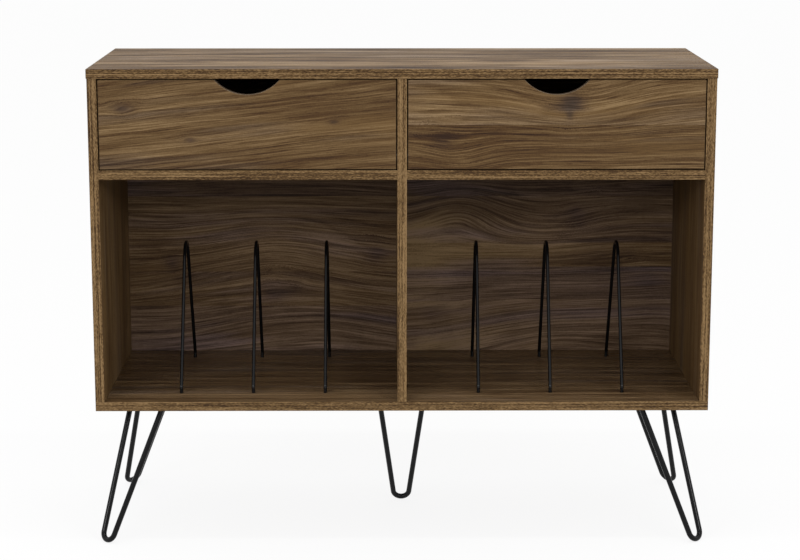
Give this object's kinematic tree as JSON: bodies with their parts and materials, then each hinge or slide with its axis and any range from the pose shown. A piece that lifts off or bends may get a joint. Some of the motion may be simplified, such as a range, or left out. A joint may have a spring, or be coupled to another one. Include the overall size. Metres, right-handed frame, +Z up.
{
  "type": "turntable stand",
  "caption": "Walnut-look turntable stand on black hairpin legs, with drawers above open bays where bent-wire dividers keep record sleeves upright.",
  "frame": {"origin": "on the floor under the middle of the top panel", "axes": "+X to the right seen from the front, +Y to the rear, +Z up"},
  "size_m": [1.052, 0.397, 0.825],
  "materials": {
    "walnut_board": "satin walnut-look laminate with matching edge bands",
    "back_board": "walnut-look printed hardboard, plain brown behind",
    "drawer_board": "walnut-look foil",
    "drawer_base_board": "walnut-look printed hardboard",
    "black_steel": "semi-gloss black powder coat",
    "black_screws": "black oxide",
    "black_rail_steel": "black powder coat",
    "black_nylon": "moulded nylon",
    "plated_steel": "zinc plate",
    "cast_zinc": "raw die-cast zinc",
    "beech_pegs": "fluted beech"
  },
  "bodies": {
    "cabinet": {"back_panel_left": "back_board", "back_panel_nails": "plated_steel", "back_panel_right": "back_board", "bottom_panel": "walnut_board", "cabinet_rail_screws": "plated_steel", "cabinet_roller_pins": "plated_steel", "cam_bolts": "plated_steel", "cam_locks": "cast_zinc", "carcass_screws": "plated_steel", "centre_partition": "walnut_board", "left_bay_rail_left": "black_rail_steel", "left_bay_rail_right": "black_rail_steel", "left_divider_1": "black_steel", "left_divider_2": "black_steel", "left_divider_3": "black_steel", "leg_centre": "black_steel", "leg_front_left": "black_steel", "leg_front_right": "black_steel", "leg_rear_left": "black_steel", "leg_rear_right": "black_steel", "leg_screws": "black_screws", "right_bay_rail_left": "black_rail_steel", "right_bay_rail_right": "black_rail_steel", "right_divider_1": "black_steel", "right_divider_2": "black_steel", "right_divider_3": "black_steel", "shelf_left": "walnut_board", "shelf_right": "walnut_board", "side_panel_left": "walnut_board", "side_panel_right": "walnut_board", "top_panel": "walnut_board", "wood_dowels": "beech_pegs"},
    "left_drawer": {"left_drawer_back": "drawer_board", "left_drawer_bottom": "drawer_base_board", "left_drawer_dowels": "beech_pegs", "left_drawer_front": "walnut_board", "left_drawer_rail_left": "black_rail_steel", "left_drawer_rail_right": "black_rail_steel", "left_drawer_rail_screws": "plated_steel", "left_drawer_roller_pins": "plated_steel", "left_drawer_side_left": "drawer_board", "left_drawer_side_right": "drawer_board"},
    "right_drawer": {"right_drawer_back": "drawer_board", "right_drawer_bottom": "drawer_base_board", "right_drawer_dowels": "beech_pegs", "right_drawer_front": "walnut_board", "right_drawer_rail_left": "black_rail_steel", "right_drawer_rail_right": "black_rail_steel", "right_drawer_rail_screws": "plated_steel", "right_drawer_roller_pins": "plated_steel", "right_drawer_side_left": "drawer_board", "right_drawer_side_right": "drawer_board"},
    "left_bay_roller_left": {"left_bay_roller_left": "black_nylon"},
    "left_bay_roller_right": {"left_bay_roller_right": "black_nylon"},
    "left_drawer_roller_left": {"left_drawer_roller_left": "black_nylon"},
    "left_drawer_roller_right": {"left_drawer_roller_right": "black_nylon"},
    "right_bay_roller_left": {"right_bay_roller_left": "black_nylon"},
    "right_bay_roller_right": {"right_bay_roller_right": "black_nylon"},
    "right_drawer_roller_left": {"right_drawer_roller_left": "black_nylon"},
    "right_drawer_roller_right": {"right_drawer_roller_right": "black_nylon"}
  },
  "joints": [
    {"name": "left_drawer_slide", "type": "slide", "parent": "cabinet", "child": "left_drawer", "axis": [0, -1, 0], "range_m": [0, 0.255]},
    {"name": "right_drawer_slide", "type": "slide", "parent": "cabinet", "child": "right_drawer", "axis": [0, -1, 0], "range_m": [0, 0.255]},
    {"name": "left_bay_roller_left_spin", "type": "hinge", "parent": "cabinet", "child": "left_bay_roller_left", "pos_m": [-0.5017, -0.167, 0.6773], "axis": [1, 0, 0], "continuous": true},
    {"name": "left_drawer_roller_left_spin", "type": "hinge", "parent": "left_drawer", "child": "left_drawer_roller_left", "pos_m": [-0.5017, 0.157, 0.6773], "axis": [1, 0, 0], "continuous": true},
    {"name": "left_bay_roller_right_spin", "type": "hinge", "parent": "cabinet", "child": "left_bay_roller_right", "pos_m": [-0.0153, -0.167, 0.6773], "axis": [1, 0, 0], "continuous": true},
    {"name": "left_drawer_roller_right_spin", "type": "hinge", "parent": "left_drawer", "child": "left_drawer_roller_right", "pos_m": [-0.0153, 0.157, 0.6773], "axis": [1, 0, 0], "continuous": true},
    {"name": "right_bay_roller_left_spin", "type": "hinge", "parent": "cabinet", "child": "right_bay_roller_left", "pos_m": [0.0153, -0.167, 0.6773], "axis": [1, 0, 0], "continuous": true},
    {"name": "right_drawer_roller_left_spin", "type": "hinge", "parent": "right_drawer", "child": "right_drawer_roller_left", "pos_m": [0.0153, 0.157, 0.6773], "axis": [1, 0, 0], "continuous": true},
    {"name": "right_bay_roller_right_spin", "type": "hinge", "parent": "cabinet", "child": "right_bay_roller_right", "pos_m": [0.5017, -0.167, 0.6773], "axis": [1, 0, 0], "continuous": true},
    {"name": "right_drawer_roller_right_spin", "type": "hinge", "parent": "right_drawer", "child": "right_drawer_roller_right", "pos_m": [0.5017, 0.157, 0.6773], "axis": [1, 0, 0], "continuous": true}
  ],
  "couplings": [
    {"joint": "left_bay_roller_left_spin", "follows": "left_drawer_slide", "rad_per_m": 125},
    {"joint": "left_drawer_roller_left_spin", "follows": "left_drawer_slide", "rad_per_m": 125},
    {"joint": "left_bay_roller_right_spin", "follows": "left_drawer_slide", "rad_per_m": 125},
    {"joint": "left_drawer_roller_right_spin", "follows": "left_drawer_slide", "rad_per_m": 125},
    {"joint": "right_bay_roller_left_spin", "follows": "right_drawer_slide", "rad_per_m": 125},
    {"joint": "right_drawer_roller_left_spin", "follows": "right_drawer_slide", "rad_per_m": 125},
    {"joint": "right_bay_roller_right_spin", "follows": "right_drawer_slide", "rad_per_m": 125},
    {"joint": "right_drawer_roller_right_spin", "follows": "right_drawer_slide", "rad_per_m": 125}
  ]
}
